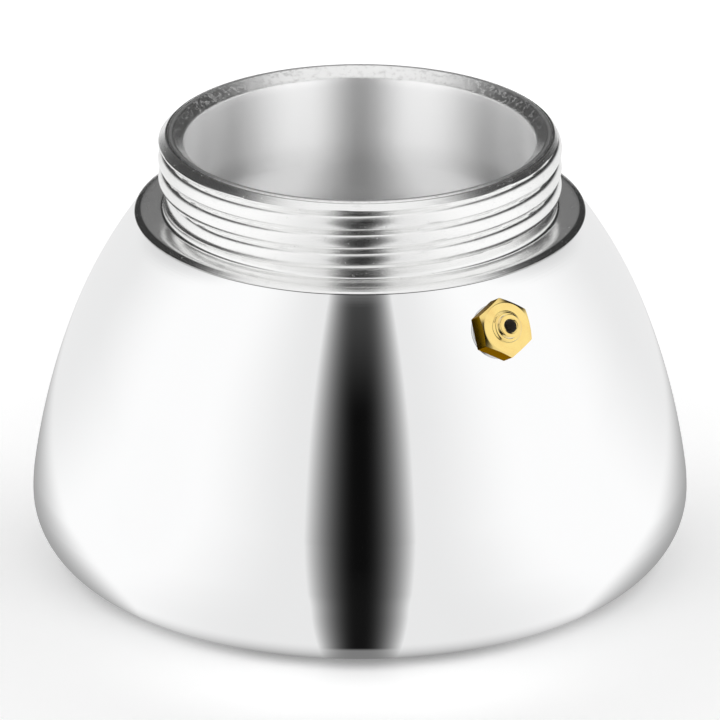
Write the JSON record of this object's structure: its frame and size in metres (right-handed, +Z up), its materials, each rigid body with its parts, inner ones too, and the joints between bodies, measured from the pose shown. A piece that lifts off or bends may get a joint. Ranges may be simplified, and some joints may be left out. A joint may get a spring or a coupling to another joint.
{
  "type": "moka pot boiler",
  "caption": "Dome-shaped lower chamber of a moka pot: polished steel jacket over a turned aluminium vessel with a threaded neck, an open mouth and a brass safety valve.",
  "frame": {"origin": "centre of the flat base, on the plane that the boiler stands on", "axes": "+Z up along the neck's axis; the safety valve is towards -Y and +X, about 59 degrees from +X"},
  "size_m": [0.1148, 0.1148, 0.0773],
  "materials": {
    "turned_aluminium": "turned outside, matt blasted inside",
    "mirror_steel": "mirror-polished stainless steel",
    "valve_brass": "bright turned brass",
    "stem_brass": "turned brass",
    "white_silicone": "off-white food-grade silicone",
    "spring_steel": "bright stainless spring wire and sealing washer"
  },
  "bodies": {
    "boiler": {"vessel": "turned_aluminium", "jacket": "mirror_steel", "valve_gasket": "spring_steel", "valve_body": "valve_brass", "valve_seat": "stem_brass", "valve_spring": "spring_steel"},
    "relief_stem": {"valve_stem": "stem_brass", "stem_seal": "white_silicone"}
  },
  "joints": [
    {"name": "relief_slide", "type": "slide", "parent": "boiler", "child": "relief_stem", "axis": [0.4473, -0.7328, 0.5128], "range_m": [0, 0.0015], "stiffness_N_per_m": 800, "springref_m": -0.0026, "deforming": ["valve_spring"]}
  ]
}
